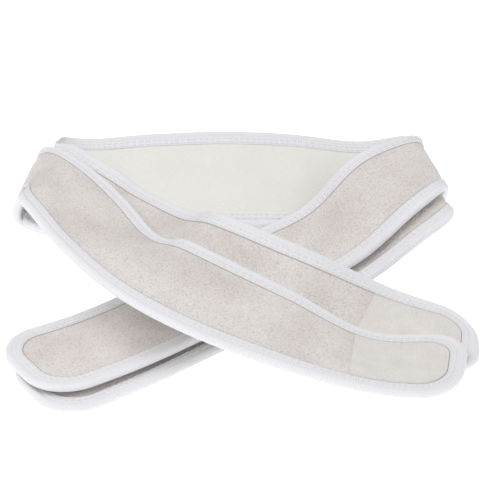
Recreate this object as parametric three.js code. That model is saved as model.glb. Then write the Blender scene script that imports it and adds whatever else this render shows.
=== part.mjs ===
// A pair of terry spa headbands, worn with a hook-and-loop overlap and kept here one nested in the other.
// Each band is an open strip with round ends: a terry face, a foam core, a smooth lining, a folded
// binding stitched all round, and a closure patch near each end. Millimetres, +Z up, resting on z = 0.
import * as THREE from "three";

// ---- Strip ----
const BAND_WIDTH = 51; // over the binding
const BAND_LENGTH = 683; // along the middle, end to end
const END_RADIUS = 20; // corner radius of the round ends, over the binding

// ---- Layers, from the middle of the sandwich outwards ----
const CORE_THICK = 0.76;
const FACE_THICK = 0.55;
const LINING_THICK = 0.5;
const CORE_GAP = 0.32; // between the core and the layer on either side of it
const LAYER_GAP = 0.3; // between two layers that lie on each other
const EDGE_GAP = 1; // between the layers' cut edge and the fold of the binding

// ---- Binding ----
const BINDING_WIDTH = 8.5; // from the band's edge to the binding's own edge
const BINDING_THICK = 0.5;
const BINDING_FOLD = 0.85; // thickness of the fold at the edge itself
const BINDING_CROWN = 0.8; // how far the fold's shoulders sit in from the edge

// ---- Stitching ----
const THREAD_SIZE = 0.35;
const THREAD_GAP = 0.25; // between a thread and the cloth it is drawn down on
const SEAM_SETBACK = 5.8; // binding seam, from the band's edge

// ---- Closure patches: hook tape on the right end's face, loop tape under the left end ----
const PATCH_LENGTH = 40;
const PATCH_THICK = 0.5;
const PATCH_SIDE_GAP = 0.4; // between the patch and the binding's edge
const PATCH_SEAM_INSET = 2.2; // patch seam, from the patch's edge

// ---- Hinge lines: where an end bends up off the crossing ----
const OUTER_LEFT_END = 62; // from the left tip to the hinge line
const INNER_LEFT_END = 56;
const OUTER_RIGHT_END = 84; // from the right tip to the hinge line
const INNER_RIGHT_END = 68;
const HINGE_SLIT = 0.5; // between the cloth on the two sides of a hinge line

// ---- Facets ----
const FACET_TURN = 13; // largest turn of the cloth between two sections, degrees
const FACET_LENGTH = 20; // longest distance between two sections
const SCAN_STEP = 1; // step of the walk that places the sections
const SECTION_MARGIN = 2; // shortest distance between the last two sections of a stretch
const NORMAL_STEP = BAND_LENGTH / 180; // the cloth's direction is read this far either side of a point
const ARC_STEPS = 3; // sections round each end corner

// ---- Heights in the sandwich, above and below its middle ----
const FACE_UNDER = CORE_THICK / 2 + CORE_GAP;
const FACE_TOP = FACE_UNDER + FACE_THICK;
const LINING_UNDER = CORE_THICK / 2 + CORE_GAP;
const LINING_TOP = LINING_UNDER + LINING_THICK;
const BINDING_TOP = FACE_TOP + LAYER_GAP + BINDING_THICK;
const BINDING_BOTTOM = LINING_TOP + LAYER_GAP + BINDING_THICK;
const THREAD_TOP = BINDING_TOP + THREAD_GAP + THREAD_SIZE;
const LAYER_INSET = BINDING_FOLD + EDGE_GAP;
const CORE_INSET = LAYER_INSET + 0.6; // the core is cut a little narrower than the cloth along the loop
const BINDING_LINE = (BAND_WIDTH / 2 - BINDING_WIDTH) / (BAND_WIDTH / 2 - LAYER_INSET);
const PATCH_INSET = BINDING_WIDTH + PATCH_SIDE_GAP;
const PATCH_STOP = PATCH_INSET + PATCH_LENGTH; // from the tip to the patch's far edge
const NEST_CLEARANCE = 0.3; // between the two bands where they lie on each other
const PATCH_BOTTOM = LINING_TOP + LAYER_GAP + PATCH_THICK + THREAD_GAP + THREAD_SIZE;
const NEST_PITCH = THREAD_TOP + Math.max(BINDING_BOTTOM, PATCH_BOTTOM) + NEST_CLEARANCE;

// ---- Colours ----
const TERRY = { color: 0xddd8d4, roughness: 0.95 };
const FOAM = { color: 0xf0ead8, roughness: 0.9 };
const LINING = { color: 0xe4e2dd, roughness: 0.8 };
const BINDING = { color: 0xe6e4e8, roughness: 0.6 };
const THREAD = { color: 0xf2f0f0, roughness: 0.5 };
const PATCH = { color: 0xddd6cc, roughness: 0.85 };

// ---- Route of the outer band: share of its length, lower edge, upper edge ----
// It runs from the left end under the crossing, round the right turn, along the back, round the
// left turn and over the crossing to the right end.
const LOWER = 1;
const UPPER = 2;
const OUTER_ROUTE = [
  [0, [-80, -134, 7], [-108, -91.5, 7.5]],
  [0.06, [-44.5, -111.5, 8.5], [-75, -70.5, 7]],
  [0.12, [-12.5, -83.5, 8.5], [-46.5, -45, 7]],
  [0.18, [13, -56.5, 7.5], [-15, -14, 8.5]],
  [0.24, [47, -45.5, 20.5], [23, -1, 21]],
  [0.29, [73, -36, 40.5], [46, 7.5, 42.5]],
  [0.33, [85.5, -21.5, 42], [72, 27.5, 43.5]],
  [0.37, [76, -6.5, 13], [76, 40, 35]],
  [0.41, [50.5, 0.5, 8], [50.5, 47.5, 30.5]],
  [0.455, [19, -0.5, 7.5], [18, 43.5, 33]],
  [0.5, [-12, -1, 7], [-13, 42, 34.5]],
  [0.545, [-42.5, -1, 7], [-45, 43, 33]],
  [0.59, [-71.5, -5, 7], [-78, 40.5, 28]],
  [0.63, [-101, -23, 25.5], [-94, 28, 35]],
  [0.67, [-96.5, -35.5, 48], [-86, 14, 43.5]],
  [0.71, [-97, -51, 51], [-53, -22.5, 37]],
  [0.76, [-78.5, -79.5, 47], [-37, -52, 34]],
  [0.82, [-38, -117, 35.5], [-21.5, -69, 40.5]],
  [0.88, [1, -127.5, 23.5], [16, -80, 25]],
  [0.94, [46, -138, 14.5], [50.5, -87, 9]],
  [1, [82.5, -137, 11.5], [91, -91, 10.5]],
];

// ---- Route of the inner band ----
// It lies against the inside of the outer band as far as the left turn, slipped sideways towards its
// upper edge: share of its length, slip.
const INNER_SLIP = [
  [0, -8.5],
  [0.06, -6],
  [0.12, -5.5],
  [0.18, -9.5],
  [0.24, -8],
  [0.29, -11],
  [0.33, -11],
  [0.37, 0],
  [0.41, -3],
  [0.455, 0.5],
  [0.5, 1.5],
  [0.545, 1],
  [0.59, 4.5],
  [0.63, 9],
  [0.67, 10.5],
  [0.71, 20],
  [0.76, 28],
  [0.82, 30],
];

// From the left turn on it runs on its own under the outer band: share, lower edge, upper edge.
const INNER_FRONT = [
  [0.59, [-71.5, -3, 13.5], [-78, 43, 34]],
  [0.63, [-95.5, -15, 29.5], [-88.5, 34.5, 38]],
  [0.67, [-105.5, -13.5, 10], [-60.5, 1.5, 42.5]],
  [0.71, [-82.5, -37.5, 27], [-50.5, -0.5, 32.5]],
  [0.76, [-63, -59.5, 24], [-24.5, -25, 33]],
  [0.82, [-29, -88.5, 20.5], [-10.5, -46, 43]],
  [0.88, [8, -98, 7], [22.5, -56.5, 33]],
  [0.94, [43.5, -102.5, 1], [63.5, -53, 10.5]],
  [1, [93, -113.5, 5.5], [97, -66, 2]],
];
const LEAVING_FROM = 0.62; // share of its length where the inner band starts to leave the outer one
const LEAVING_TO = 0.74;

// ---- Reading a route ----

// Slope at one row of what is read from the rows, taken between its two neighbours.
function slopeAt(rows, index, read) {
  const before = rows[Math.max(index - 1, 0)];
  const after = rows[Math.min(index + 1, rows.length - 1)];
  return (read(after) - read(before)) / (after[0] - before[0]);
}

// Smooth curve through the rows, at a share of the band's length.
function valueAt(rows, share, read) {
  let index = 0;
  while (index < rows.length - 2 && share > rows[index + 1][0]) {
    index += 1;
  }
  const span = rows[index + 1][0] - rows[index][0];
  const t = (share - rows[index][0]) / span;
  return (
    (2 * t ** 3 - 3 * t ** 2 + 1) * read(rows[index]) +
    (t ** 3 - 2 * t ** 2 + t) * slopeAt(rows, index, read) * span +
    (3 * t ** 2 - 2 * t ** 3) * read(rows[index + 1]) +
    (t ** 3 - t ** 2) * slopeAt(rows, index + 1, read) * span
  );
}

function edgeAt(rows, side, share) {
  return new THREE.Vector3(
    valueAt(rows, share, (row) => row[side][0]),
    valueAt(rows, share, (row) => row[side][1]),
    valueAt(rows, share, (row) => row[side][2]),
  );
}

// Middle of the strip and the direction across it, at a distance along the band.
function rulingOf(rows, along) {
  const low = edgeAt(rows, LOWER, along / BAND_LENGTH);
  const high = edgeAt(rows, UPPER, along / BAND_LENGTH);
  const middle = low.clone().add(high).multiplyScalar(0.5);
  const across = high.sub(low).normalize();
  return { middle, across };
}

function outerRuling(along) {
  return rulingOf(OUTER_ROUTE, along);
}

// Against the inside of the outer band first, then eased over to the inner band's own route.
function innerRuling(along) {
  const share = along / BAND_LENGTH;
  const outer = frameAt(OUTER_BAND, along);
  const nested = outer.middle.clone();
  nested.addScaledVector(outer.normal, -NEST_PITCH);
  nested.addScaledVector(outer.across, valueAt(INNER_SLIP, share, (row) => row[1]));
  const own = rulingOf(INNER_FRONT, along);
  const left = THREE.MathUtils.smoothstep(share, LEAVING_FROM, LEAVING_TO);
  const middle = nested.lerp(own.middle, left);
  const across = outer.across.clone().lerp(own.across, left).normalize();
  return { middle, across };
}

// Middle, direction across and outward normal of the cloth, at a distance along the band.
function frameAt(band, along) {
  const known = band.frames.get(along);
  if (known) {
    return known;
  }
  const before = band.ruling(Math.max(along - NORMAL_STEP, 0)).middle;
  const after = band.ruling(Math.min(along + NORMAL_STEP, BAND_LENGTH)).middle;
  const { middle, across } = band.ruling(along);
  const normal = after.sub(before).cross(across).normalize();
  const frame = { middle, across, normal };
  band.frames.set(along, frame);
  return frame;
}

// A point of the cloth: distance along the band, sideways from its middle, height off its middle.
// It remembers where on the cloth it is, so that layers on each other are split the same way.
function place(band, along, sideways, height) {
  const frame = frameAt(band, along);
  const point = frame.middle.clone();
  point.addScaledVector(frame.across, sideways);
  point.addScaledVector(frame.normal, height);
  point.along = along;
  point.sideways = sideways;
  return point;
}

// Distances along the band where the cloth gets a section: more of them where it turns.
function sectionsBetween(band, from, to) {
  const sections = [from];
  let last = frameAt(band, from);
  let lastAlong = from;
  for (let along = from + SCAN_STEP; along < to - SECTION_MARGIN; along += SCAN_STEP) {
    const here = frameAt(band, along);
    const turn = Math.max(last.normal.angleTo(here.normal), last.across.angleTo(here.across));
    if (THREE.MathUtils.radToDeg(turn) > FACET_TURN || along - lastAlong > FACET_LENGTH) {
      sections.push(along);
      last = here;
      lastAlong = along;
    }
  }
  sections.push(to);
  return sections;
}

// ---- Closed solids from rings of points ----

function volumeOf(corners, faces) {
  let volume = 0;
  for (const [a, b, c] of faces) {
    volume += corners[a].clone().cross(corners[b]).dot(corners[c]) / 6;
  }
  return volume;
}

// How far a diagonal runs forward along the band and upward across it at once.
function slant(a, b) {
  return (b.along - a.along) * (b.sideways - a.sideways);
}

// Joins each ring to the next; capped with the profile's own triangles, or run round into a loop.
function loft(rings, capFaces) {
  const count = rings[0].length;
  const corners = rings.flat();
  const faces = [];
  const spans = capFaces ? rings.length - 1 : rings.length;
  for (let ring = 0; ring < spans; ring += 1) {
    const here = ring * count;
    const next = ((ring + 1) % rings.length) * count;
    for (let k = 0; k < count; k += 1) {
      const m = (k + 1) % count;
      const corner = [here + k, next + k, next + m, here + m];
      const [a, b, c, d] = corner.map((index) => corners[index]);
      if (slant(a, c) >= slant(b, d)) {
        faces.push([corner[0], corner[1], corner[2]], [corner[0], corner[2], corner[3]]);
      } else {
        faces.push([corner[0], corner[1], corner[3]], [corner[1], corner[2], corner[3]]);
      }
    }
  }
  if (capFaces) {
    const end = (rings.length - 1) * count;
    for (const [a, b, c] of capFaces) {
      faces.push([a, b, c]);
      faces.push([end + a, end + c, end + b]);
    }
  }
  const flip = volumeOf(corners, faces) < 0;
  const geometry = new THREE.BufferGeometry();
  geometry.setAttribute(
    "position",
    new THREE.Float32BufferAttribute(corners.flatMap((corner) => corner.toArray()), 3),
  );
  geometry.setIndex(faces.flatMap(([a, b, c]) => (flip ? [a, c, b] : [a, b, c])));
  geometry.computeVertexNormals();
  return geometry;
}

// Triangles that close a profile given as [inset, height] points, turning the same way as its rings.
function capOf(profile) {
  const contour = profile.map(([inset, height]) => new THREE.Vector2(inset, height));
  const turn = Math.sign(THREE.ShapeUtils.area(contour));
  const faces = THREE.ShapeUtils.triangulateShape(contour, []);
  return faces.map(([a, b, c]) => {
    const same = Math.sign(THREE.ShapeUtils.area([contour[a], contour[b], contour[c]])) === turn;
    return same ? [a, b, c] : [a, c, b];
  });
}

function piece(name, geometry, look) {
  const material = new THREE.MeshStandardMaterial({
    color: look.color,
    roughness: look.roughness,
    metalness: 0,
  });
  const mesh = new THREE.Mesh(geometry, material);
  mesh.name = name;
  return mesh;
}

// ---- A flat layer of the sandwich ----

// Half the width of an outline drawn inside the band's edge, at a distance from the tip.
function halfWidth(fromTip, inset) {
  if (fromTip >= END_RADIUS) {
    return BAND_WIDTH / 2 - inset;
  }
  const reach = END_RADIUS - inset;
  const back = END_RADIUS - fromTip;
  return BAND_WIDTH / 2 - END_RADIUS + Math.sqrt(Math.max(reach ** 2 - back ** 2, 0));
}

// Distances from the tip where the round end of an inset outline gets a point.
function cornerSteps(inset) {
  const steps = [];
  for (let k = 0; k < ARC_STEPS; k += 1) {
    const angle = (k / ARC_STEPS) * (Math.PI / 2);
    steps.push(inset + (END_RADIUS - inset) * (1 - Math.cos(angle)));
  }
  return steps;
}

// Distances from the tip of the sections between two distances from it.
function stepsBetween(band, tip, near, far) {
  const ends = [alongFrom(tip, near), alongFrom(tip, far)];
  const sections = sectionsBetween(band, Math.min(...ends), Math.max(...ends));
  return sections.map((along) => Math.abs(along - tip)).sort((a, b) => a - b);
}

// The straight part of an end, out to a given distance, with sections at the patch's seam and edge.
function straightSteps(band, tip, length) {
  const steps = stepsBetween(band, tip, END_RADIUS, PATCH_STOP - PATCH_SEAM_INSET);
  steps.push(PATCH_STOP);
  if (length > PATCH_STOP) {
    steps.push(...stepsBetween(band, tip, PATCH_STOP, length).slice(1));
  }
  return steps;
}

// Distance along the band of a point a given way in from one of its two tips.
function alongFrom(tip, distance) {
  return tip === 0 ? distance : tip - distance;
}

// Four lines along the layer, below and above: its edges, and where the binding's own edges lie.
const LAYER_LINES = [-1, -BINDING_LINE, BINDING_LINE, 1];
const LAYER_CAP = [
  [0, 1, 6],
  [0, 6, 7],
  [1, 2, 5],
  [1, 5, 6],
  [2, 3, 4],
  [2, 4, 5],
];

function layerRing(band, along, half, under, top) {
  const below = LAYER_LINES.map((share) => place(band, along, share * half, under));
  const above = LAYER_LINES.map((share) => place(band, along, share * half, top));
  return [...below, ...above.reverse()];
}

function middleLayer(band, from, to, under, top, inset = LAYER_INSET) {
  const half = BAND_WIDTH / 2 - inset;
  const rings = sectionsBetween(band, from, to).map((along) => layerRing(band, along, half, under, top));
  return loft(rings, LAYER_CAP);
}

function endLayer(band, tip, inset, length, under, top) {
  const rings = [...cornerSteps(inset), ...straightSteps(band, tip, length)].map((fromTip) =>
    layerRing(band, alongFrom(tip, fromTip), halfWidth(fromTip, inset), under, top),
  );
  return loft(rings, LAYER_CAP);
}

// ---- Binding and stitching: a profile swept along the edge ----

const BINDING_PROFILE = [
  [BINDING_WIDTH, BINDING_TOP],
  [SEAM_SETBACK, BINDING_TOP],
  [BINDING_CROWN, BINDING_TOP],
  [0, 0],
  [BINDING_CROWN, -BINDING_BOTTOM],
  [BINDING_WIDTH, -BINDING_BOTTOM],
  [BINDING_WIDTH, BINDING_THICK - BINDING_BOTTOM],
  [BINDING_FOLD, BINDING_THICK - BINDING_BOTTOM],
  [BINDING_FOLD, BINDING_TOP - BINDING_THICK],
  [BINDING_WIDTH, BINDING_TOP - BINDING_THICK],
];

// Three-sided thread lying on the cloth: inset of its middle, height of its underside, facing up or down.
function threadProfile(inset, underside, facing) {
  return [
    [inset - THREAD_SIZE / 2, facing * underside],
    [inset + THREAD_SIZE / 2, facing * underside],
    [inset, facing * (underside + THREAD_SIZE)],
  ];
}

// The profile swept straight along one side of the middle stretch: side is 1 or -1.
function sweepSide(band, from, to, side, profile) {
  const rings = sectionsBetween(band, from, to).map((along) =>
    profile.map(([inset, height]) => place(band, along, side * (BAND_WIDTH / 2 - inset), height)),
  );
  return loft(rings, capOf(profile));
}

// Stations round a band's end, from one side's cut to the other's: each gives a point for any inset.
function endStations(band, tip, length) {
  const straight = straightSteps(band, tip, length);
  const stations = [];
  for (const side of [1, -1]) {
    const half = straight.map((fromTip) => (inset) => [fromTip, side * (BAND_WIDTH / 2 - inset)]);
    half.reverse();
    for (let k = ARC_STEPS - 1; k >= 0; k -= 1) {
      const angle = (k / ARC_STEPS) * (Math.PI / 2);
      half.push((inset) => [
        END_RADIUS - (END_RADIUS - inset) * Math.cos(angle),
        side * (BAND_WIDTH / 2 - END_RADIUS + (END_RADIUS - inset) * Math.sin(angle)),
      ]);
    }
    if (side === -1) {
      half.reverse();
    }
    stations.push(...half);
  }
  return stations;
}

function sweepEnd(band, tip, length, profile) {
  const rings = endStations(band, tip, length).map((station) =>
    profile.map(([inset, height]) => {
      const [fromTip, sideways] = station(inset);
      return place(band, alongFrom(tip, fromTip), sideways, height);
    }),
  );
  return loft(rings, capOf(profile));
}

// Closed seam round a patch: along the end's outline and straight back across the band.
function sweepPatchSeam(band, tip, inset, stop, profile) {
  const stations = endStations(band, tip, stop);
  const rings = stations.map((station) =>
    profile.map(([aside, height]) => {
      const [fromTip, sideways] = station(inset + aside);
      return place(band, alongFrom(tip, Math.min(fromTip, stop - aside)), sideways, height);
    }),
  );
  return loft(rings, null);
}

// ---- The parts of one band ----

function middlePieces(band) {
  const from = band.leftEnd + HINGE_SLIT;
  const to = BAND_LENGTH - band.rightEnd - HINGE_SLIT;
  const seam = threadProfile(SEAM_SETBACK, BINDING_TOP + THREAD_GAP, 1);
  const name = `${band.name}_loop`;
  return [
    piece(`${name}_face`, middleLayer(band, from, to, FACE_UNDER, FACE_TOP), TERRY),
    piece(`${name}_core`, middleLayer(band, from, to, -CORE_THICK / 2, CORE_THICK / 2, CORE_INSET), FOAM),
    piece(`${name}_lining`, middleLayer(band, from, to, -LINING_TOP, -LINING_UNDER), LINING),
    piece(`${name}_binding_top`, sweepSide(band, from, to, 1, BINDING_PROFILE), BINDING),
    piece(`${name}_binding_low`, sweepSide(band, from, to, -1, BINDING_PROFILE), BINDING),
    piece(`${name}_seam_top`, sweepSide(band, from, to, 1, seam), THREAD),
    piece(`${name}_seam_low`, sweepSide(band, from, to, -1, seam), THREAD),
  ];
}

// One end, tip 0 or the band's length; the patch is sewn on its face (facing 1) or under it (-1).
function endPieces(band, tip, length, facing, label) {
  const patchBase = (facing === 1 ? FACE_TOP : LINING_TOP) + LAYER_GAP;
  const patchTop = patchBase + PATCH_THICK;
  const bottom = Math.min(facing * patchBase, facing * patchTop);
  const top = Math.max(facing * patchBase, facing * patchTop);
  const seam = threadProfile(SEAM_SETBACK, BINDING_TOP + THREAD_GAP, 1);
  const patchSeam = threadProfile(PATCH_SEAM_INSET, patchTop + THREAD_GAP, facing);
  const name = `${band.name}_${label}`;
  return [
    piece(`${name}_face`, endLayer(band, tip, LAYER_INSET, length, FACE_UNDER, FACE_TOP), TERRY),
    piece(`${name}_core`, endLayer(band, tip, LAYER_INSET, length, -CORE_THICK / 2, CORE_THICK / 2), FOAM),
    piece(`${name}_lining`, endLayer(band, tip, LAYER_INSET, length, -LINING_TOP, -LINING_UNDER), LINING),
    piece(`${name}_binding`, sweepEnd(band, tip, length, BINDING_PROFILE), BINDING),
    piece(`${name}_seam`, sweepEnd(band, tip, length, seam), THREAD),
    piece(`${name}_patch`, endLayer(band, tip, PATCH_INSET, PATCH_STOP, bottom, top), PATCH),
    piece(`${name}_patch_seam`, sweepPatchSeam(band, tip, PATCH_INSET, PATCH_STOP, patchSeam), THREAD),
  ];
}

function headband(band) {
  return [
    ...middlePieces(band),
    ...endPieces(band, 0, band.leftEnd, -1, "left_end"),
    ...endPieces(band, BAND_LENGTH, band.rightEnd, 1, "right_end"),
  ];
}

// ---- The pair ----

const OUTER_BAND = {
  name: "outer_band",
  ruling: outerRuling,
  frames: new Map(),
  leftEnd: OUTER_LEFT_END,
  rightEnd: OUTER_RIGHT_END,
};
const INNER_BAND = {
  name: "inner_band",
  ruling: innerRuling,
  frames: new Map(),
  leftEnd: INNER_LEFT_END,
  rightEnd: INNER_RIGHT_END,
};

// Shifts every piece so the pair stands on z = 0 with the middle of its footprint at the origin.
function centre(meshes) {
  const box = new THREE.Box3();
  for (const mesh of meshes) {
    box.expandByObject(mesh);
  }
  const middle = box.getCenter(new THREE.Vector3());
  for (const mesh of meshes) {
    mesh.geometry.translate(-middle.x, -middle.y, -box.min.z);
  }
}

const group = new THREE.Group();
group.name = "spa_headband_pair";
const meshes = [...headband(OUTER_BAND), ...headband(INNER_BAND)];
centre(meshes);
group.add(...meshes);

export default group;
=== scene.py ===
import math

import bpy
import numpy as np
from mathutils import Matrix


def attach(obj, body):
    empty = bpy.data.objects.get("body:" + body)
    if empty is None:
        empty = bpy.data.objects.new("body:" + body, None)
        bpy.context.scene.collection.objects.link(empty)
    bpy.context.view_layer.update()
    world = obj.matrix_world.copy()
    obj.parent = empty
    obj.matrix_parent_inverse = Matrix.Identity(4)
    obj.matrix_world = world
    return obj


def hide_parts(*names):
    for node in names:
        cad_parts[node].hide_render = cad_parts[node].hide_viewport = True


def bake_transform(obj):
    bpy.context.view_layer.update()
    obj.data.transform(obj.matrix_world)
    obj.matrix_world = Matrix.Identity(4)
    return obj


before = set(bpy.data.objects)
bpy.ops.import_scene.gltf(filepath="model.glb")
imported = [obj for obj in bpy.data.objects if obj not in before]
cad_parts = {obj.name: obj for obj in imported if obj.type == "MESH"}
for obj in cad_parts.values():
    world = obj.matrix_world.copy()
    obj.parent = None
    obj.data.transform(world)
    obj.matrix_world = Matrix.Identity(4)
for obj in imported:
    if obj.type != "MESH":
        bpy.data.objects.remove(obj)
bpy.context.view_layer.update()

bl_info = {
    "name": "Terry spa headbands",
    "version": (1, 0, 0),
    "blender": (4, 5, 0),
    "location": "View3D > Sidebar > Headbands",
    "description": "Makes a nested pair of bound terry spa headbands with stitching and closure patches",
    "category": "Object",
}

MM = 0.001

# Routes of the two strips in millimetres: share of the length, lower edge, upper edge.
OUTER_ROUTE = np.array([
    [0, -80, -134, 7, -108, -91.5, 7.5],
    [0.06, -44.5, -111.5, 8.5, -75, -70.5, 7],
    [0.12, -12.5, -83.5, 8.5, -46.5, -45, 7],
    [0.18, 13, -56.5, 7.5, -15, -14, 8.5],
    [0.24, 47, -45.5, 20.5, 23, -1, 21],
    [0.29, 73, -36, 40.5, 46, 7.5, 42.5],
    [0.33, 85.5, -21.5, 42, 72, 27.5, 43.5],
    [0.37, 76, -6.5, 13, 76, 40, 35],
    [0.41, 50.5, 0.5, 8, 50.5, 47.5, 30.5],
    [0.455, 19, -0.5, 7.5, 18, 43.5, 33],
    [0.5, -12, -1, 7, -13, 42, 34.5],
    [0.545, -42.5, -1, 7, -45, 43, 33],
    [0.59, -71.5, -5, 7, -78, 40.5, 28],
    [0.63, -101, -23, 25.5, -94, 28, 35],
    [0.67, -96.5, -35.5, 48, -86, 14, 43.5],
    [0.71, -97, -51, 51, -53, -22.5, 37],
    [0.76, -78.5, -79.5, 47, -37, -52, 34],
    [0.82, -38, -117, 35.5, -21.5, -69, 40.5],
    [0.88, 1, -127.5, 23.5, 16, -80, 25],
    [0.94, 46, -138, 14.5, 50.5, -87, 9],
    [1, 82.5, -137, 11.5, 91, -91, 10.5],
])
# The inner band lies against the outer one, slipped sideways: share of the length, slip.
INNER_SLIP = np.array([
    [0, -8.5], [0.06, -6], [0.12, -5.5], [0.18, -9.5], [0.24, -8], [0.29, -11], [0.33, -11], [0.37, 0],
    [0.41, -3], [0.455, 0.5], [0.5, 1.5], [0.545, 1], [0.59, 4.5], [0.63, 9], [0.67, 10.5], [0.71, 20],
    [0.76, 28], [0.82, 30],
])
# From its left turn on the inner band runs on its own under the outer one.
INNER_FRONT = np.array([
    [0.59, -71.5, -3, 13.5, -78, 43, 34],
    [0.63, -95.5, -15, 29.5, -88.5, 34.5, 38],
    [0.67, -105.5, -13.5, 10, -60.5, 1.5, 42.5],
    [0.71, -82.5, -37.5, 27, -50.5, -0.5, 32.5],
    [0.76, -63, -59.5, 24, -24.5, -25, 33],
    [0.82, -29, -88.5, 20.5, -10.5, -46, 43],
    [0.88, 8, -98, 7, 22.5, -56.5, 33],
    [0.94, 43.5, -102.5, 1, 63.5, -53, 10.5],
    [1, 93, -113.5, 5.5, 97, -66, 2],
])
LEAVING = (0.62, 0.74)  # shares between which the inner band eases over to its own route
TO_PART = np.array([4.205631256, 45.93747330, 0.745721996])  # from the routes' origin to the part's

# Sizes of a band, in millimetres.
WIDTH = 51.0
LENGTH = 683.0
END_RADIUS = 20.0
FLAT_TIP = WIDTH / 2 - END_RADIUS  # half the straight piece between a tip's two corners
NEST_PITCH = 5.55  # from the outer band's middle in to the inner one's
NORMAL_STEP = LENGTH / 180  # the cloth's direction is read this far either side of a point
LAYER_INSET = 1.85  # from the band's edge to the cut edge of the layers
PATCH_REACH = (7.5, 48.9)  # from the tip to the patch's two ends
PATCH_SEAM_INSET = 1.6
BINDING_SEAMS = (4.5, 6.3)  # the two stitch rows, from the band's edge
CROWN_RUN = (7.0, 10.0)  # where the face starts to rise, from the band's edge, and over how far

# Heights of the layers off the middle of the cloth, in millimetres: underside, upper side.
FACE = (0.7, 1.25)
CORE = (-0.4, 0.4)
LINING = (-1.2, -0.7)
HOOK_PATCH = (1.27, 1.62)
LOOP_PATCH = (-1.6, -1.22)

# Hinge lines, millimetres along each band; an end's cloth starts further in.
HINGES = {"outer": (62.0, LENGTH - 84.0), "inner": (56.0, LENGTH - 68.0)}
END_OVERLAP = 10.0
BEND_REACH = 6.0

# Patterns of the cloths, in metres.
RIB_PITCH = 0.001
CAMERA_RISE = 29.3467  # degrees


class HeadbandSizes(bpy.types.PropertyGroup):
    crown: bpy.props.FloatProperty(
        name="Crown", description="Rise of the terry face between the bindings",
        default=0.0008, unit="LENGTH", subtype="DISTANCE")
    binding_width: bpy.props.FloatProperty(
        name="Binding width", description="From the band's edge to the binding's own edge",
        default=0.0072, unit="LENGTH", subtype="DISTANCE")
    bead: bpy.props.FloatProperty(
        name="Bead height",
        description="Height of the binding's rounded edge off the middle of the cloth",
        default=0.00195, unit="LENGTH", subtype="DISTANCE")
    stitch_pitch: bpy.props.FloatProperty(
        name="Stitch pitch", description="Distance from one stitch to the next",
        default=0.0026, unit="LENGTH", subtype="DISTANCE")
    thread: bpy.props.FloatProperty(
        name="Thread size", description="Thickness of the sewing thread",
        default=0.00038, unit="LENGTH", subtype="DISTANCE")


class HeadbandColours(bpy.types.PropertyGroup):
    terry: bpy.props.FloatVectorProperty(
        name="Terry", description="Colour of the terry loops",
        default=(0.80, 0.757, 0.727), subtype="COLOR", size=3)
    lining: bpy.props.FloatVectorProperty(
        name="Lining", description="Colour of the smooth lining",
        default=(0.85, 0.838, 0.80), subtype="COLOR", size=3)
    binding: bpy.props.FloatVectorProperty(
        name="Binding", description="Colour of the folded binding",
        default=(0.86, 0.853, 0.885), subtype="COLOR", size=3)
    thread: bpy.props.FloatVectorProperty(
        name="Thread", description="Colour of the sewing thread",
        default=(0.84, 0.83, 0.85), subtype="COLOR", size=3)
    patch: bpy.props.FloatVectorProperty(
        name="Patch", description="Colour of the closure patches",
        default=(0.80, 0.765, 0.735), subtype="COLOR", size=3)


class StageSettings(bpy.types.PropertyGroup):
    distance: bpy.props.FloatProperty(
        name="Camera distance", description="From the camera to the middle of the bands",
        default=0.9, unit="LENGTH", subtype="DISTANCE")
    lens: bpy.props.FloatProperty(
        name="Lens", description="Focal length of the camera, in millimetres",
        default=142.49)
    fill: bpy.props.FloatProperty(
        name="Fill light", description="Strength of the even light all round",
        default=0.575)


# ---- Strip ----

def hermite(rows, share):
    """Cubic Hermite curve through rows of (share, values), with slopes taken between the two neighbours."""
    knots, values = rows[:, 0], rows[:, 1:]
    order = np.arange(len(knots))
    before, after = np.maximum(order - 1, 0), np.minimum(order + 1, len(knots) - 1)
    slopes = (values[after] - values[before]) / (knots[after] - knots[before])[:, None]
    index = np.clip(np.searchsorted(knots, share, side="left") - 1, 0, len(knots) - 2)
    span = (knots[index + 1] - knots[index])[:, None]
    t = ((share - knots[index])[:, None]) / span
    return (
        (2 * t**3 - 3 * t**2 + 1) * values[index]
        + (t**3 - 2 * t**2 + t) * slopes[index] * span
        + (3 * t**2 - 2 * t**3) * values[index + 1]
        + (t**3 - t**2) * slopes[index + 1] * span
    )


def unit(vectors):
    """Each vector divided by its own length."""
    return vectors / np.linalg.norm(vectors, axis=-1, keepdims=True)


def ruling(band, along):
    """Middle and direction across the strip at distances along it.

    The inner band is the outer one moved in along its normal by the nesting pitch and sideways by its slip,
    eased over to its own route.
    """
    share = along / LENGTH
    edges = hermite(OUTER_ROUTE, share)
    middle = (edges[:, :3] + edges[:, 3:]) / 2
    across = unit(edges[:, 3:] - edges[:, :3])
    if band == "outer":
        return middle, across
    _, across, normal = frame_at("outer", along)
    slip = hermite(INNER_SLIP, np.minimum(share, INNER_SLIP[-1, 0]))
    nested = middle - normal * NEST_PITCH + across * slip
    own = hermite(INNER_FRONT, np.maximum(share, INNER_FRONT[0, 0]))
    own_middle, own_across = (own[:, :3] + own[:, 3:]) / 2, unit(own[:, 3:] - own[:, :3])
    ease = np.clip((share - LEAVING[0]) / (LEAVING[1] - LEAVING[0]), 0, 1)[:, None]
    ease = ease * ease * (3 - 2 * ease)
    return nested + (own_middle - nested) * ease, unit(across + (own_across - across) * ease)


def frame_at(band, along):
    """Middle, direction across and outward normal, which is the run of the middle crossed with across."""
    middle, across = ruling(band, along)
    before, _ = ruling(band, np.maximum(along - NORMAL_STEP, 0))
    after, _ = ruling(band, np.minimum(along + NORMAL_STEP, LENGTH))
    return middle, across, unit(np.cross(after - before, across))


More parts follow.
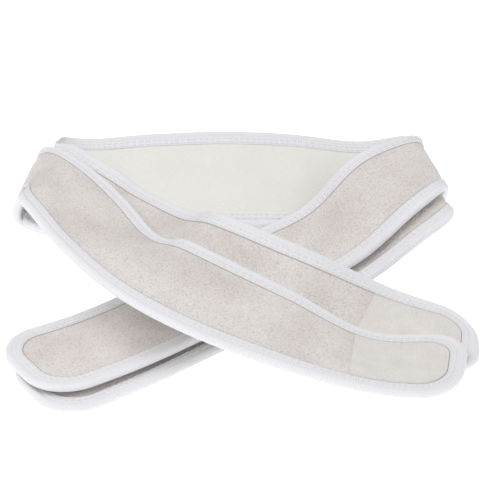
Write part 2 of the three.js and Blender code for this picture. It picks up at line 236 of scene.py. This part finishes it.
def place(band, along, sideways, height):
    """Points of the cloth, in metres: middle, plus across times sideways, plus normal times height."""
    shape = np.broadcast(along, sideways, height).shape
    along, sideways, height = (np.broadcast_to(a, shape).ravel() for a in (along, sideways, height))
    known, back = np.unique(np.round(along, 4), return_inverse=True)
    middle, across, normal = (a[back] for a in frame_at(band, known))
    points = middle + across * sideways[:, None] + normal * height[:, None] + TO_PART
    return (points * MM).reshape(shape + (3,))


def half_width(from_tip, inset):
    """Half the width of an outline set in from the edge: full past the corner, a circle's arc in it."""
    reach, back = END_RADIUS - inset, np.maximum(END_RADIUS - from_tip, 0)
    return FLAT_TIP + np.sqrt(np.maximum(reach**2 - back**2, 0))


def from_edge(along, sideways):
    """Distance in from the band's outline: to the long edge, the tip's straight end or a corner's arc."""
    tip, side = np.minimum(along, LENGTH - along) + 0 * sideways, np.abs(sideways) + 0 * along
    arc = END_RADIUS - np.hypot(np.maximum(END_RADIUS - tip, 0), np.maximum(side - FLAT_TIP, 0))
    in_corner = (tip < END_RADIUS) & (side > FLAT_TIP)
    return np.where(in_corner, arc, np.minimum(tip, WIDTH / 2 - side))


def mesh_piece(name, corners, faces, uv, on_rim=None):
    """A smooth mesh object from corners, faces as lists of corners, and a texture coordinate in metres for
    each face corner. An edge is sharp where both its corners are on a rim."""
    mesh = bpy.data.meshes.new(name)
    mesh.from_pydata(corners.tolist(), [], faces)
    layer = mesh.uv_layers.new(name="cloth")
    layer.data.foreach_set("uv", np.asarray(uv, dtype=np.float32).ravel())
    mesh.polygons.foreach_set("use_smooth", np.ones(len(mesh.polygons), dtype=bool))
    if on_rim is not None:
        ends = np.empty(len(mesh.edges) * 2, dtype=np.int32)
        mesh.edges.foreach_get("vertices", ends)
        mesh.edges.foreach_set("use_edge_sharp", on_rim[ends].reshape(-1, 2).all(axis=1))
    mesh.update()
    piece = bpy.data.objects.new(name, mesh)
    bpy.context.scene.collection.objects.link(piece)
    return piece


def tube_quads(rings, around):
    """Quads between closed rings of corners numbered ring by ring, and the ring and place of each."""
    i, j = np.meshgrid(np.arange(rings - 1), np.arange(around), indexing="ij")
    k = (j + 1) % around
    quads = np.stack([i * around + j, i * around + k, (i + 1) * around + k, (i + 1) * around + j], -1)
    return quads.reshape(-1, 4), i, j


def skin(name, rings, uv):
    """Closed skin over rings of points, joined ring to ring and capped at both ends.

    The volume is a sixth of the sum of the triple products of each triangle's corners. Where that sum is
    negative the skin is inside out, and every face is turned.
    """
    count, around = rings.shape[:2]
    quads, i, j = tube_quads(count, around)
    quad_uv = np.stack([uv[i, j], uv[i, j + 1], uv[i + 1, j + 1], uv[i + 1, j]], 2).reshape(-1, 4, 2)
    corners = rings.reshape(-1, 3)
    caps = [np.arange(around)[::-1], (count - 1) * around + np.arange(around)]
    cap_uv = [uv[0, :around][::-1], uv[-1, :around]]
    a, b, c, d = (corners[quads[:, n]] for n in range(4))
    volume = np.einsum("ij,ij->i", a, np.cross(b, c)).sum() + np.einsum("ij,ij->i", a, np.cross(c, d)).sum()
    for cap in caps:
        volume += np.cross(corners[cap[1:-1]], corners[cap[2:]]).dot(corners[cap[0]]).sum()
    if volume < 0:
        quads, quad_uv = quads[:, ::-1], quad_uv[:, ::-1]
        caps = [cap[::-1] for cap in caps]
        cap_uv = [part[::-1] for part in cap_uv]
    faces = quads.tolist() + [cap.tolist() for cap in caps]
    on_rim = np.zeros(len(corners), dtype=bool)
    on_rim[:around] = True
    on_rim[-around:] = True
    return mesh_piece(name, corners, faces, np.concatenate([quad_uv.reshape(-1, 2), *cap_uv]), on_rim)


# ---- Parts of a band ----

def stretches(band):
    """The three stretches of a band: name, body, start, stop, and the hinge line that bends it, if any."""
    left, right = HINGES[band]
    return [
        ("left_end", f"{band}_band_left_end", 0.0, left + END_OVERLAP, left),
        ("loop", "bands", left + END_OVERLAP, right - END_OVERLAP, None),
        ("right_end", f"{band}_band_right_end", right - END_OVERLAP, LENGTH, right),
    ]


def layer_steps(start, stop, inset, step):
    """Distances along a stretch: even ones, and in a round end those of even turns round its corner."""
    start, stop = max(start, inset), min(stop, LENGTH - inset)
    even = np.linspace(start, stop, int((stop - start) / step) + 2)
    corner = inset + (END_RADIUS - inset) * (1 - np.cos(np.linspace(0, math.pi / 2, 14)))
    clear = END_RADIUS + 0.4
    if start <= inset:
        return np.concatenate([corner, even[even > clear]])
    if stop >= LENGTH - inset:
        return np.concatenate([even[even < LENGTH - clear], (LENGTH - corner)[::-1]])
    return even


def layer(band, name, start, stop, inset, heights, crown, step=1.5):
    """A thin slab of cloth whose outline follows the round ends.

    Its two sides rise by the crown times a smooth step of the distance from the band's edge. It keeps that
    distance as an attribute, for its material.
    """
    along = layer_steps(start, stop, inset, step)[:, None]
    half = half_width(np.minimum(along, LENGTH - along), inset)
    across = np.linspace(-1, 1, 19)
    sideways = np.concatenate([across, across[::-1]])[None, :] * half
    depth = from_edge(along, sideways)
    rise = np.clip((depth - CROWN_RUN[0]) / CROWN_RUN[1], 0, 1)
    rise = crown * rise * rise * (3 - 2 * rise)
    under, top = heights
    points = place(band, along, sideways, np.repeat([top, under], len(across))[None, :] + rise)
    closed = np.concatenate([sideways, sideways[:, :1]], 1)
    piece = skin(name, points, np.stack(np.broadcast_arrays(along, closed), -1) * MM)
    depths = piece.data.attributes.new("from_edge", "FLOAT", "POINT")
    depths.data.foreach_set("value", depth.astype(np.float32).ravel())
    return piece


def with_run(line):
    """A line in the flat with its distance run as a last column."""
    steps = np.linalg.norm(np.diff(line[:, :2], axis=0), axis=1)
    return np.concatenate([line, np.concatenate([[0], np.cumsum(steps)])[:, None]], 1)


def outline(start, stop, step=1.3):
    """The band's edge in the flat: along, sideways, inward direction (two values) and distance run.

    A loop stretch gives its two edges. An end gives one run: the lower edge, a quarter circle, the straight
    tip, a quarter circle and the upper edge.
    """
    def edge(a, b, side):
        along = np.linspace(a, b, int(abs(b - a) / step) + 2)
        return np.stack([along, side * WIDTH / 2 + 0 * along, 0 * along, -side + 0 * along], 1)

    if start > 0 and stop < LENGTH:
        return [with_run(edge(start, stop, -1)), with_run(edge(start, stop, 1))]
    tip, inward, far = (0.0, 1.0, stop) if start <= 0 else (LENGTH, -1.0, start)
    turn = np.linspace(0, math.pi / 2, 26)[:, None]
    ahead, beside = np.sin(turn), np.cos(turn)
    corner = np.concatenate([
        tip + inward * END_RADIUS * (1 - ahead), -FLAT_TIP - END_RADIUS * beside, inward * ahead, beside], 1)
    across = np.linspace(-FLAT_TIP, FLAT_TIP, 9)[1:-1, None]
    straight = np.concatenate([tip + 0 * across, across, inward + 0 * across, 0 * across], 1)
    low = np.concatenate([edge(far, tip + inward * END_RADIUS, -1)[:-1], corner])
    mirror = [1, -1, 1, -1]
    return [with_run(np.concatenate([low, straight, low[::-1] * mirror]))]


def tape_top(width, bead):
    """Upper side of the folded tape, from its own edge out: a flat part, a groove and a round bead."""
    return [
        (width, 1.40), (width - 0.15, 1.58), (width - 0.5, 1.68), (width - 1.3, 1.72), (width - 2.2, 1.70),
        (width - 3.0, 1.60), (3.75, 1.42), (3.35, 1.40), (2.95, 1.60), (2.4, bead - 0.12), (1.7, bead),
        (1.0, bead - 0.2), (0.4, bead - 0.8), (0.06, 0.5)]


def binding_profile(width, bead):
    """The folded tape in section, as distance in from the edge and height: its upper side, that side's mirror
    below, and the inside, which follows the layers."""
    top = tape_top(width, bead)
    low = [(inward, -height) for inward, height in top[::-1]]
    inside = [
        (width, -1.26), (width / 2, -1.26), (1.5, -1.26), (1.0, -0.5),
        (1.0, 0.5), (1.5, 1.28), (width / 2, 1.28), (width, 1.28)]
    return np.array(top + low + inside)


def tape_girth(width, bead):
    """Width of the tape before it was folded: the length of its outside in section."""
    outside = binding_profile(width, bead)[:2 * len(tape_top(width, bead))]
    return np.linalg.norm(np.diff(outside, axis=0), axis=1).sum()


def binding_height(width, bead, inward):
    """Height of the tape's upper side at a distance in from the edge."""
    top = np.array(tape_top(width, bead)[::-1])
    return np.interp(inward, top[:, 0], top[:, 1])


def sweep(band, name, run, profile):
    """The profile carried along an outline: each of its points moves in from it by its own distance."""
    along = run[:, 0:1] + run[:, 2:3] * profile[None, :, 0]
    sideways = run[:, 1:2] + run[:, 3:4] * profile[None, :, 0]
    points = place(band, along, sideways, profile[None, :, 1])
    round_it = with_run(np.concatenate([profile, profile[:1]]))[:, 2]
    uv = np.stack(np.broadcast_arrays(run[:, 4:5], round_it[None, :]), -1) * MM
    return skin(name, points, uv)


# One stitch: places along it as shares of its length, then its thickness and how far it sinks at each
# place, as shares of the thread's size.
STITCH_PLACES = np.array([-0.5, -0.42, -0.2, 0.2, 0.42, 0.5])
STITCH_THICKNESS = np.array([0.25, 0.8, 1, 1, 0.8, 0.25])
STITCH_SINK = np.array([0.75, 0.3, 0, 0, 0.3, 0.75])
STITCH_SHARE = 0.78  # of the pitch
STITCH_AROUND = 6


def stitch_row(band, path, lift, pitch, size):
    """Corners of a row of stitches, one array for each: rings round a path, at an even pitch.

    A ring's points are the path's own, plus a circle laid sideways to the path's direction and upright. The
    path is along, sideways and distance run; lift is the height of the stitches' middle.
    """
    around = np.linspace(0, 2 * math.pi, STITCH_AROUND, endpoint=False)
    middles = np.arange(pitch / 2, path[-1, 2], pitch)[:, None]
    at = np.clip(middles + STITCH_PLACES * pitch * STITCH_SHARE, 0, path[-1, 2])
    along, side = (np.interp(at, path[:, 2], path[:, n])[..., None] for n in (0, 1))
    run_along, run_side = (
        np.interp(at, path[:, 2], np.gradient(path[:, n], path[:, 2]))[..., None] for n in (0, 1))
    radius = STITCH_THICKNESS[None, :, None] * size / 2
    wide = radius * np.cos(around)
    high = radius * np.sin(around) + lift - np.sign(lift) * STITCH_SINK[None, :, None] * size
    return place(band, along - run_side * wide, side + run_along * wide, high)


def stitches(band, name, rows, pitch, size):
    """Rows of stitches as one piece, each stitch a short round bar with tapered, closed ends. A bar is turned
    where its faces look at its own middle."""
    bars = np.concatenate([
        stitch_row(band, path, lift, pitch, size).reshape(-1, STITCH_AROUND * len(STITCH_PLACES), 3)
        for path, lift in rows])
    quads, _, _ = tube_quads(len(STITCH_PLACES), STITCH_AROUND)
    last = STITCH_AROUND * (len(STITCH_PLACES) - 1)
    caps = np.stack([np.arange(STITCH_AROUND)[::-1], last + np.arange(STITCH_AROUND)])
    a, b, c = (bars[0][quads[:, n]] for n in range(3))
    if (np.cross(b - a, c - a) * (bars[0][quads].mean(1) - bars[0].mean(0))).sum() < 0:
        quads, caps = quads[:, ::-1], caps[:, ::-1]
    first = (np.arange(len(bars)) * bars.shape[1])[:, None, None]
    quads, caps = (quads + first).reshape(-1, 4), (caps + first).reshape(-1, STITCH_AROUND)
    corners = bars.reshape(-1, 3)
    uv = corners[np.concatenate([quads.ravel(), caps.ravel()]), :2]
    return mesh_piece(name, corners, quads.tolist() + caps.tolist(), uv)


def inset_path(run, inset):
    """An outline moved inwards: along, sideways and the distance run on the moved line."""
    return with_run(run[:, :2] + run[:, 2:4] * inset)


def finish_piece(piece, material, band, body, hinge, node):
    """Gives a piece its material and hides the solid that it stands for. A piece without a hinge line is put
    under the body it moves with; an end has its placing baked into its mesh, and the points either side of its
    hinge line are worked out but not used."""
    piece.data.materials.append(material)
    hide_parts(node)
    if hinge is None:
        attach(piece, body)
        return
    outwards = -1 if "left" in body else 1
    start, end = (
        place(band, np.array([hinge + outwards * reach]), 0.0, 0.0)[0] for reach in (-BEND_REACH, BEND_REACH))
    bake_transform(piece)


# ---- Materials ----

def cloth_material(name, colour, roughness, sheen):
    """A cloth shader with its colour, roughness and sheen on their own sockets: gives back the material, its
    nodes and links, the shader and the cloth's own coordinates."""
    material = bpy.data.materials.new(name)
    material.use_nodes = True
    nodes, links = material.node_tree.nodes, material.node_tree.links
    shader = nodes["Principled BSDF"]
    shader.inputs["Base Color"].default_value = (*colour, 1)
    shader.inputs["Roughness"].default_value = roughness
    shader.inputs["Sheen Weight"].default_value = sheen
    shader.inputs["Sheen Roughness"].default_value = 0.6
    shader.inputs["Specular IOR Level"].default_value = 0.2
    cloth = nodes.new("ShaderNodeUVMap")
    cloth.uv_map = "cloth"
    return material, nodes, links, shader, cloth.outputs["UV"]


def noise(nodes, links, where, scale, detail=2.0, rough=0.55, stretch=None):
    """Noise over the cloth, scaled per metre and stretched by a mapping where one is given."""
    if stretch:
        mapping = nodes.new("ShaderNodeMapping")
        mapping.inputs["Scale"].default_value = (*stretch, 1)
        links.new(where, mapping.inputs["Vector"])
        where = mapping.outputs["Vector"]
    node = nodes.new("ShaderNodeTexNoise")
    node.inputs["Scale"].default_value = scale
    node.inputs["Detail"].default_value = detail
    node.inputs["Roughness"].default_value = rough
    links.new(where, node.inputs["Vector"])
    return node.outputs["Fac"]


def ramp(nodes, links, value, stops):
    """Colours or greys read off a value: a list of places and colours."""
    node = nodes.new("ShaderNodeValToRGB")
    while len(node.color_ramp.elements) < len(stops):
        node.color_ramp.elements.new(0.5)
    for element, (where, colour) in zip(node.color_ramp.elements, stops):
        element.position = where
        element.color = (*colour, 1)
    links.new(value, node.inputs["Fac"])
    return node.outputs["Color"]


def multiply(nodes, links, a, b, factor=1.0):
    """Two colours multiplied."""
    node = nodes.new("ShaderNodeMix")
    node.data_type = "RGBA"
    node.blend_type = "MULTIPLY"
    node.inputs["Factor"].default_value = factor
    links.new(a, node.inputs[6])
    links.new(b, node.inputs[7])
    return node.outputs[2]


def cells(nodes, links, where, scale, randomness):
    """Distance from the middles of cells spread over the cloth, scaled per metre."""
    node = nodes.new("ShaderNodeTexVoronoi")
    node.inputs["Scale"].default_value = scale
    node.inputs["Randomness"].default_value = randomness
    links.new(where, node.inputs["Vector"])
    return node.outputs["Distance"]


def domes(nodes, links, distance):
    """A height that falls from each cell's middle outwards."""
    return ramp(nodes, links, distance, [(0, (1, 1, 1)), (1, (0, 0, 0))])


def bump(nodes, links, shader, height, depth, before=None):
    """A bump from a height, in metres of relief, on top of an earlier one."""
    node = nodes.new("ShaderNodeBump")
    node.inputs["Strength"].default_value = 1.0
    node.inputs["Distance"].default_value = depth
    links.new(height, node.inputs["Height"])
    if before:
        links.new(before, node.inputs["Normal"])
    links.new(node.outputs["Normal"], shader.inputs["Normal"])
    return node.outputs["Normal"]


def terry_material(colours):
    """Terry: loops as cells 0.9 mm across, darker specks between them, a slow change of tone over the cloth,
    and a painted shade line just inside the binding's edge, where the raised binding shades the terry."""
    base = np.array(colours.terry)
    material, nodes, links, shader, where = cloth_material("terry_loops", base, 0.95, 0.25)
    loops = cells(nodes, links, where, 1150, 0.9)
    tone = ramp(nodes, links, loops, [(0.0, base * 1.06), (0.45, base), (0.9, base * 0.86)])
    fleck = noise(nodes, links, where, 900, 3, rough=0.7)
    specks = ramp(nodes, links, fleck, [(0.27, (0.55, 0.52, 0.50)), (0.42, (1, 1, 1))])
    cloud = noise(nodes, links, where, 38, 2)
    shades = ramp(nodes, links, cloud, [(0.3, (0.90, 0.875, 0.87)), (0.62, (1.02, 1.02, 1.02))])
    # Painted shade: the terry is darkened in a thin line beside the binding's edge, standing in for the
    # binding's shadow.
    depth = nodes.new("ShaderNodeAttribute")
    depth.attribute_name = "from_edge"
    width = bpy.context.scene.headband_sizes.binding_width / MM
    near = nodes.new("ShaderNodeMapRange")
    near.inputs["From Min"].default_value = width + 0.15
    near.inputs["From Max"].default_value = width + 0.75
    links.new(depth.outputs["Fac"], near.inputs["Value"])
    # The painted shade line: darkest at the binding's edge, fading out 0.6 mm further in.
    rim = ramp(nodes, links, near.outputs["Result"], [(0.0, (0.62, 0.58, 0.56)), (1.0, (1, 1, 1))])
    colour = multiply(nodes, links, multiply(nodes, links, tone, specks, 0.8), shades)
    links.new(multiply(nodes, links, colour, rim), shader.inputs["Base Color"])
    first = bump(nodes, links, shader, noise(nodes, links, where, 700, 3), 0.0005)
    bump(nodes, links, shader, domes(nodes, links, loops), 0.00025, first)
    return material


def lining_material(colours):
    """Smooth lining: a fine knit of thin wales and a faint cloudiness."""
    base = np.array(colours.lining)
    material, nodes, links, shader, where = cloth_material("smooth_lining", base, 0.85, 0.15)
    knit = noise(nodes, links, where, 900, 2, stretch=(0.5, 1.6))
    tone = ramp(nodes, links, knit, [(0.3, base * 0.97), (0.7, base * 1.02)])
    cloud = noise(nodes, links, where, 60, 2)
    shades = ramp(nodes, links, cloud, [(0.3, (0.975, 0.97, 0.965)), (0.7, (1, 1, 1))])
    links.new(multiply(nodes, links, tone, shades), shader.inputs["Base Color"])
    bump(nodes, links, shader, knit, 0.00008)
    return material


def binding_material(colours):
    """Binding tape: fine ribs across it at an even pitch, a woven grain and a little unevenness.

    A wave of scale one runs through twenty radians in a metre, so the scale is a full turn over twenty pitches.
    """
    base = np.array(colours.binding)
    material, nodes, links, shader, where = cloth_material("binding_tape", base, 0.7, 0.2)
    ribs = nodes.new("ShaderNodeTexWave")
    ribs.wave_type = "BANDS"
    ribs.bands_direction = "X"
    ribs.inputs["Scale"].default_value = 2 * math.pi / (20 * RIB_PITCH)
    ribs.inputs["Distortion"].default_value = 0.4
    ribs.inputs["Detail"].default_value = 1
    links.new(where, ribs.inputs["Vector"])
    rise = ribs.outputs["Fac"]
    tone = ramp(nodes, links, rise, [(0.0, base * 0.955), (0.5, base), (1.0, base * 1.01)])
    weave = noise(nodes, links, where, 1500, 2)
    grain = ramp(nodes, links, weave, [(0.3, (0.95, 0.95, 0.95)), (0.7, (1, 1, 1))])
    links.new(multiply(nodes, links, tone, grain), shader.inputs["Base Color"])
    first = bump(nodes, links, shader, rise, 0.00007)
    bump(nodes, links, shader, noise(nodes, links, where, 260, 2), 0.00022, first)
    return material


def thread_material(colours):
    """Sewing thread: a fine twist seen as a speckle along it."""
    base = np.array(colours.thread)
    material, nodes, links, shader, where = cloth_material("sewing_thread", base, 0.55, 0.1)
    twist = noise(nodes, links, where, 2600, 1)
    links.new(ramp(nodes, links, twist, [(0.3, base * 0.9), (0.7, base * 1.04)]), shader.inputs["Base Color"])
    bump(nodes, links, shader, twist, 0.0001)
    return material


def patch_material(colours):
    """Closure tape: a dense, even pile of cells one millimetre across."""
    base = np.array(colours.patch)
    material, nodes, links, shader, where = cloth_material("closure_tape", base, 0.8, 0.2)
    pile = cells(nodes, links, where, 1000, 0.35)
    tone = ramp(nodes, links, pile, [(0.0, base * 1.05), (0.5, base), (0.9, base * 0.88)])
    cloud = noise(nodes, links, where, 140, 2)
    shades = ramp(nodes, links, cloud, [(0.3, (0.95, 0.945, 0.94)), (0.7, (1.02, 1.02, 1.02))])
    links.new(multiply(nodes, links, tone, shades), shader.inputs["Base Color"])
    bump(nodes, links, shader, domes(nodes, links, pile), 0.0003)
    return material


def foam_material():
    """Foam core: small open cells."""
    base = np.array((0.8, 0.78, 0.72))
    material, nodes, links, shader, where = cloth_material("foam_core", base, 0.9, 0.0)
    pores = noise(nodes, links, where, 1400, 2)
    links.new(ramp(nodes, links, pores, [(0.35, base * 0.85), (0.6, base)]), shader.inputs["Base Color"])
    bump(nodes, links, shader, pores, 0.0002)
    return material


# ---- Operators ----

def sizes_in_mm():
    """The user's sizes in millimetres: crown, binding width, bead, stitch pitch and thread."""
    sizes = bpy.context.scene.headband_sizes
    metres = (sizes.crown, sizes.binding_width, sizes.bead, sizes.stitch_pitch, sizes.thread)
    return tuple(size / MM for size in metres)


def layers_for_all(kind, material, heights, crown, node_end):
    """One layer of cloth for every stretch of both bands."""
    for band in ("outer", "inner"):
        for part, body, start, stop, hinge in stretches(band):
            piece = layer(band, f"{band}_{part}_{kind}", start, stop, LAYER_INSET, heights, crown)
            finish_piece(piece, material, band, body, hinge, f"{band}_band_{part}_{node_end}")


class HEADBAND_OT_faces(bpy.types.Operator):
    """Terry faces of both bands"""
    bl_idname = "headband.faces"
    bl_label = "Terry faces"

    def execute(self, context):
        crown = sizes_in_mm()[0]
        layers_for_all("terry", terry_material(context.scene.headband_colours), FACE, crown, "face")
        return {"FINISHED"}


class HEADBAND_OT_cores(bpy.types.Operator):
    """Foam cores between the face and the lining"""
    bl_idname = "headband.cores"
    bl_label = "Foam cores"

    def execute(self, context):
        layers_for_all("foam", foam_material(), CORE, 0.0, "core")
        return {"FINISHED"}


class HEADBAND_OT_linings(bpy.types.Operator):
    """Smooth linings of both bands"""
    bl_idname = "headband.linings"
    bl_label = "Linings"

    def execute(self, context):
        material = lining_material(context.scene.headband_colours)
        layers_for_all("smooth", material, LINING, 0.0, "lining")
        return {"FINISHED"}


class HEADBAND_OT_bindings(bpy.types.Operator):
    """Folded binding round the edge of both bands"""
    bl_idname = "headband.bindings"
    bl_label = "Bindings"

    def execute(self, context):
        _, width, bead, _, _ = sizes_in_mm()
        material = binding_material(context.scene.headband_colours)
        profile, girth = binding_profile(width, bead), tape_girth(width, bead)
        for band in ("outer", "inner"):
            for part, body, start, stop, hinge in stretches(band):
                sides = ("_low", "_top") if hinge is None else ("",)
                for run, side in zip(outline(start, stop), sides):
                    piece = sweep(band, f"{band}_{part}_tape{side}", run, profile)
                    node = f"{band}_band_{part}_binding{side}"
                    finish_piece(piece, material, band, body, hinge, node)
        return {"FINISHED"}


class HEADBAND_OT_stitching(bpy.types.Operator):
    """Stitch rows along the binding, on both of its sides"""
    bl_idname = "headband.stitching"
    bl_label = "Stitching"

    def execute(self, context):
        _, width, bead, pitch, size = sizes_in_mm()
        material = thread_material(context.scene.headband_colours)
        for band in ("outer", "inner"):
            for part, body, start, stop, hinge in stretches(band):
                sides = ("_low", "_top") if hinge is None else ("",)
                for run, side in zip(outline(start, stop), sides):
                    rows = [
                        (inset_path(run, inset), face * (binding_height(width, bead, inset) + size * 0.3))
                        for inset in BINDING_SEAMS for face in (1, -1)]
                    piece = stitches(band, f"{band}_{part}_stitch{side}", rows, pitch, size)
                    node = f"{band}_band_{part}_seam{side}"
                    finish_piece(piece, material, band, body, hinge, node)
        return {"FINISHED"}


def patch_seam_path(start, stop, left):
    """Line of the stitches round a patch: the end's outline moved in, as far as the patch reaches, closed by
    a straight line across the band."""
    line = inset_path(outline(start, stop)[0], PATCH_REACH[0] + PATCH_SEAM_INSET)[:, :2]
    reach = PATCH_REACH[1] - PATCH_SEAM_INSET
    line = line[line[:, 0] <= reach] if left else line[line[:, 0] >= LENGTH - reach]
    across = np.linspace(line[-1, 1], line[0, 1], 20)[1:]
    return with_run(np.concatenate([line, np.stack([np.full(len(across), line[0, 0]), across], 1)]))


class HEADBAND_OT_patches(bpy.types.Operator):
    """Closure patches and the stitch rows that hold them"""
    bl_idname = "headband.patches"
    bl_label = "Closure patches"

    def execute(self, context):
        crown, _, _, pitch, size = sizes_in_mm()
        tape = patch_material(context.scene.headband_colours)
        thread = thread_material(context.scene.headband_colours)
        near, far = PATCH_REACH
        for band in ("outer", "inner"):
            for part, body, start, stop, hinge in stretches(band):
                if hinge is None:
                    continue
                left = part == "left_end"
                first, last = (near, far) if left else (LENGTH - far, LENGTH - near)
                heights, rise = (LOOP_PATCH, 0.0) if left else (HOOK_PATCH, crown)
                piece = layer(band, f"{band}_{part}_tape_patch", first, last, near, heights, rise, step=1.2)
                finish_piece(piece, tape, band, body, hinge, f"{band}_band_{part}_patch")
                lift = LOOP_PATCH[0] - size * 0.2 if left else HOOK_PATCH[1] + crown * 0.1 + size * 0.2
                rows = [(patch_seam_path(start, stop, left), lift)]
                seam = stitches(band, f"{band}_{part}_patch_stitch", rows, pitch, size)
                finish_piece(seam, thread, band, body, hinge, f"{band}_band_{part}_patch_seam")
        return {"FINISHED"}


FLOOR_REACH = 4.0
LAMPS = (  # name, place, size, power
    ("key_light", (-0.55, -0.25, 1.15), 0.9, 6.5),
    ("side_light", (0.9, -0.6, 0.8), 0.8, 2.2),
)


def make_floor(scene):
    """A plain white floor that gives off a little light of its own."""
    corners = [(-1, -1), (1, -1), (1, 1), (-1, 1)]
    mesh = bpy.data.meshes.new("studio_floor")
    mesh.from_pydata([(x * FLOOR_REACH, y * FLOOR_REACH, 0) for x, y in corners], [], [(0, 1, 2, 3)])
    floor = bpy.data.objects.new("studio_floor", mesh)
    scene.collection.objects.link(floor)
    material = bpy.data.materials.new("studio_floor_white")
    material.use_nodes = True
    shader = material.node_tree.nodes["Principled BSDF"]
    shader.inputs["Base Color"].default_value = (0.93, 0.93, 0.93, 1)
    shader.inputs["Roughness"].default_value = 1.0
    shader.inputs["Specular IOR Level"].default_value = 0.0
    shader.inputs["Emission Color"].default_value = (1, 1, 1, 1)
    shader.inputs["Emission Strength"].default_value = 0.5
    mesh.materials.append(material)


def make_lights(scene, fill):
    """An even white light all round and two square lamps turned to the middle of the bands."""
    world = bpy.data.worlds.new("studio_light")
    world.use_nodes = True
    background = world.node_tree.nodes["Background"]
    background.inputs["Color"].default_value = (1, 1, 1, 1)
    background.inputs["Strength"].default_value = fill
    scene.world = world
    for name, where, size, power in LAMPS:
        lamp = bpy.data.lights.new(name, "AREA")
        lamp.shape = "SQUARE"
        lamp.size = size
        lamp.energy = power
        light = bpy.data.objects.new(name, lamp)
        light.location = where
        aim = TO_PART * MM - np.array(where)
        tilt, turn = math.acos(-aim[2] / np.linalg.norm(aim)), math.atan2(aim[1], aim[0]) - math.pi / 2
        light.rotation_euler = (tilt, 0, turn)
        scene.collection.objects.link(light)


def make_camera(scene, distance, lens):
    """A camera in front of the bands that looks down on their middle."""
    data = bpy.data.cameras.new("camera")
    data.sensor_width = 36
    data.lens = lens
    data.clip_end = 20
    camera = bpy.data.objects.new("camera", data)
    rise = math.radians(CAMERA_RISE)
    camera.location = TO_PART * MM + distance * np.array([0, -math.cos(rise), math.sin(rise)])
    camera.rotation_euler = (math.pi / 2 - rise, 0, 0)
    scene.collection.objects.link(camera)
    scene.camera = camera


class HEADBAND_OT_stage(bpy.types.Operator):
    """Plain floor, soft studio light and the camera"""
    bl_idname = "headband.stage"
    bl_label = "Stage"

    def execute(self, context):
        stage = context.scene.headband_stage
        make_floor(context.scene)
        make_lights(context.scene, stage.fill)
        make_camera(context.scene, stage.distance, stage.lens)
        context.scene.view_settings.view_transform = "Standard"
        return {"FINISHED"}


class HEADBAND_PT_panel(bpy.types.Panel):
    """Sizes, colours and the steps in the 3D view's sidebar"""
    bl_label = "Terry headbands"
    bl_idname = "HEADBAND_PT_panel"
    bl_space_type = "VIEW_3D"
    bl_region_type = "UI"
    bl_category = "Headbands"

    def draw(self, context):
        scene = context.scene
        for group in (scene.headband_sizes, scene.headband_colours, scene.headband_stage):
            box = self.layout.box()
            for key in group.__annotations__:
                box.prop(group, key)
        for step in STEPS:
            self.layout.operator(step.bl_idname)


GROUPS = (HeadbandSizes, HeadbandColours, StageSettings)
STEPS = (
    HEADBAND_OT_faces, HEADBAND_OT_cores, HEADBAND_OT_linings, HEADBAND_OT_bindings, HEADBAND_OT_stitching,
    HEADBAND_OT_patches, HEADBAND_OT_stage)


def register():
    """Registers the settings, the operators and the panel."""
    for one in GROUPS + STEPS + (HEADBAND_PT_panel,):
        bpy.utils.register_class(one)
    bpy.types.Scene.headband_sizes = bpy.props.PointerProperty(type=HeadbandSizes)
    bpy.types.Scene.headband_colours = bpy.props.PointerProperty(type=HeadbandColours)
    bpy.types.Scene.headband_stage = bpy.props.PointerProperty(type=StageSettings)


def unregister():
    """Takes back what register did."""
    del bpy.types.Scene.headband_sizes
    del bpy.types.Scene.headband_colours
    del bpy.types.Scene.headband_stage
    for one in reversed(GROUPS + STEPS + (HEADBAND_PT_panel,)):
        bpy.utils.unregister_class(one)


def main():
    """Makes every piece in order."""
    register()
    bpy.ops.headband.stage()
    bpy.ops.headband.faces()
    bpy.ops.headband.cores()
    bpy.ops.headband.linings()
    bpy.ops.headband.bindings()
    bpy.ops.headband.stitching()
    bpy.ops.headband.patches()


if __name__ == "__main__":
    main()
